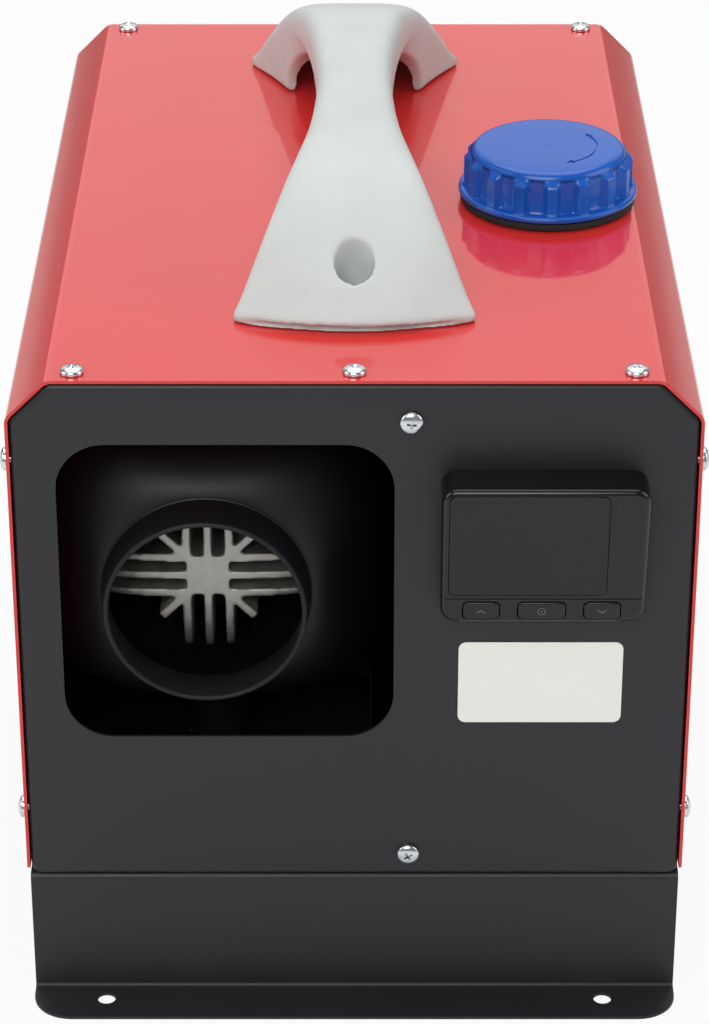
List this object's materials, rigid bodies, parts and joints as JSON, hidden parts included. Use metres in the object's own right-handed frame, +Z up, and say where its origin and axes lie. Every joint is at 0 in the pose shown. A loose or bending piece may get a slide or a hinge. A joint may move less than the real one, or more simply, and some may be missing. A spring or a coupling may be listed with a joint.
{
  "type": "portable diesel air heater",
  "caption": "Portable diesel air heater in a folded sheet case with carry handle, fuel cap, tilted controller, warm-air outlet collar and flanged base.",
  "frame": {"origin": "centre of the footprint, on the surface that the feet stand on", "axes": "+Z up; the front with the controller and the outlet faces -Y; +X to the right seen from the front"},
  "size_m": [0.2556, 0.405, 0.3113],
  "materials": {
    "red_paint": "glossy powder paint",
    "black_paint": "satin powder paint",
    "zinc_steel": "bright zinc plate",
    "bare_steel": "plain",
    "grey_plastic": "satin moulded",
    "blue_plastic": "smooth moulded",
    "black_plastic": "satin moulded",
    "gloss_black": "polished window",
    "black_rubber": "matte",
    "label_film": "bare printed film",
    "cast_aluminium": "sand-cast, unpainted",
    "tank_polymer": "blow-moulded",
    "circuit_board": "lacquered",
    "brass": "machined"
  },
  "bodies": {
    "case": {"top_cover": "red_paint", "front_panel": "black_paint", "rear_panel": "black_paint", "base_bracket": "black_paint", "inner_partition": "black_paint", "heater_shelf": "black_paint", "top_screw_front_left": "zinc_steel", "top_screw_front_middle": "zinc_steel", "top_screw_front_right": "zinc_steel", "top_screw_rear_left": "zinc_steel", "top_screw_rear_middle": "zinc_steel", "top_screw_rear_right": "zinc_steel", "side_screw_front_upper_left": "zinc_steel", "side_screw_front_upper_right": "zinc_steel", "side_screw_front_lower_left": "zinc_steel", "side_screw_front_lower_right": "zinc_steel", "side_screw_rear_upper_left": "zinc_steel", "side_screw_rear_upper_right": "zinc_steel", "side_screw_rear_lower_left": "zinc_steel", "side_screw_rear_lower_right": "zinc_steel", "panel_screw_front_upper": "zinc_steel", "panel_screw_front_lower": "zinc_steel", "panel_screw_rear_upper": "zinc_steel", "panel_screw_rear_lower": "zinc_steel", "carry_handle": "grey_plastic", "handle_screw_front": "zinc_steel", "handle_screw_rear": "zinc_steel", "controller_housing": "black_plastic", "lcd_window": "gloss_black", "controller_board": "circuit_board", "blank_label": "label_film", "heater_lower_casing": "black_plastic", "heater_upper_casing": "black_plastic", "outlet_hood": "black_plastic", "heat_exchanger": "cast_aluminium", "exhaust_stub": "bare_steel", "combustion_air_stub": "bare_steel", "burner_tube": "bare_steel", "glow_plug": "zinc_steel", "blower_motor": "zinc_steel", "control_board": "circuit_board", "fuel_tank": "tank_polymer", "filler_grommet": "black_rubber", "tank_outlet": "brass", "suction_hose": "black_rubber", "fuel_filter": "tank_polymer", "filter_hose": "black_rubber", "dosing_pump": "zinc_steel", "pressure_hose": "black_rubber", "intake_grille": "black_plastic", "cable_gland": "black_plastic"},
    "cap_seal": {"cap_seal": "black_rubber"},
    "fuel_cap": {"fuel_cap": "blue_plastic"},
    "blower_rotor": {"motor_shaft": "zinc_steel", "warm_air_fan": "black_plastic", "burner_air_fan": "black_plastic"},
    "pump_plunger": {"pump_plunger": "brass"},
    "button_left": {"button_left": "black_plastic"},
    "button_middle": {"button_middle": "black_plastic"},
    "button_right": {"button_right": "black_plastic"}
  },
  "joints": [
    {"name": "cap_lift", "type": "slide", "parent": "case", "child": "cap_seal", "axis": [0, 0, 1], "range_m": [0, 0.0125]},
    {"name": "cap_turn", "type": "hinge", "parent": "cap_seal", "child": "fuel_cap", "pos_m": [0.0764, -0.0165, 0.28], "axis": [0, 0, 1], "range_deg": [0, 720]},
    {"name": "rotor_spin", "type": "hinge", "parent": "case", "child": "blower_rotor", "pos_m": [-0.0548, 0.1, 0.169], "axis": [0, 1, 0], "continuous": true},
    {"name": "plunger_stroke", "type": "slide", "parent": "case", "child": "pump_plunger", "axis": [0, -1, 0], "range_m": [0, 0.0025], "stiffness_N_per_m": 500},
    {"name": "button_left_press", "type": "slide", "parent": "case", "child": "button_left", "axis": [0, 0.9907, 0.1357], "range_m": [0, 0.0008], "stiffness_N_per_m": 400},
    {"name": "button_middle_press", "type": "slide", "parent": "case", "child": "button_middle", "axis": [0, 0.9907, 0.1357], "range_m": [0, 0.0008], "stiffness_N_per_m": 400},
    {"name": "button_right_press", "type": "slide", "parent": "case", "child": "button_right", "axis": [0, 0.9907, 0.1357], "range_m": [0, 0.0008], "stiffness_N_per_m": 400}
  ],
  "couplings": [
    {"joint": "cap_lift", "follows": "cap_turn", "m_per_rad": 0.00095493}
  ]
}
